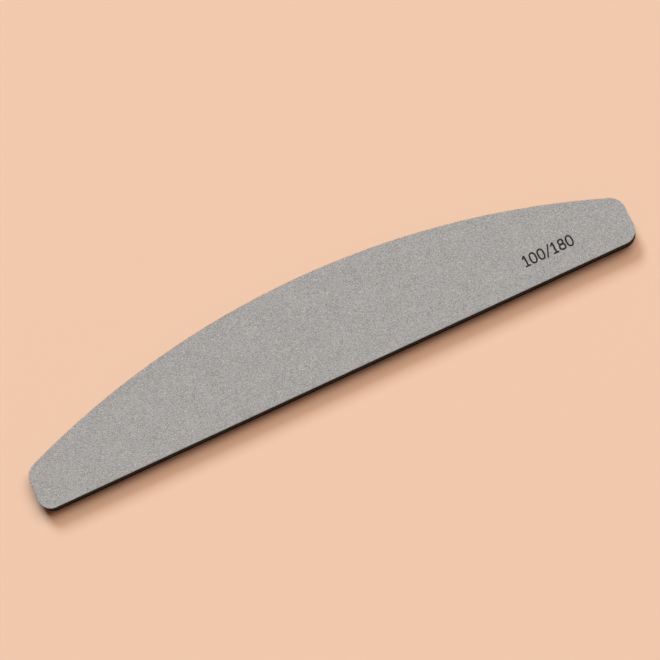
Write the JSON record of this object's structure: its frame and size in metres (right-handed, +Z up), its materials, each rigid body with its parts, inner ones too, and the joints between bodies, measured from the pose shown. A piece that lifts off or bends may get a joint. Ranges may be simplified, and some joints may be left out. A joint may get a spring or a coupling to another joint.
{
  "type": "half-moon nail file",
  "caption": "Flat half-moon hand file with a straight edge and a crowned edge: grey abrasive paper on both faces, black foam cushions and a stiff black core between them.",
  "frame": {"origin": "on the table under the middle of the bounding box, with the fine side down", "axes": "+X along the straight edge, +Y from the straight edge to the crowned edge, +Z up through the laminate to the coarse side"},
  "size_m": [0.178, 0.0304, 0.004],
  "materials": {
    "coarse_grit": "warm grey abrasive grain in resin, coarse and matt",
    "fine_grit": "warm grey abrasive grain in resin, fine and matt",
    "backing_paper": "dark latex-filled paper",
    "adhesive": "dark acrylic adhesive film",
    "foam": "black closed-cell foam, matt",
    "core": "black polystyrene sheet, satin"
  },
  "bodies": {
    "root": {"fine_grit_coat": "fine_grit", "lower_backing_paper": "backing_paper", "lower_paper_adhesive": "adhesive", "lower_foam_cushion": "foam", "lower_core_adhesive": "adhesive", "core_board": "core", "upper_core_adhesive": "adhesive", "upper_foam_cushion": "foam", "upper_paper_adhesive": "adhesive", "upper_backing_paper": "backing_paper", "coarse_grit_coat": "coarse_grit"}
  },
  "joints": []
}
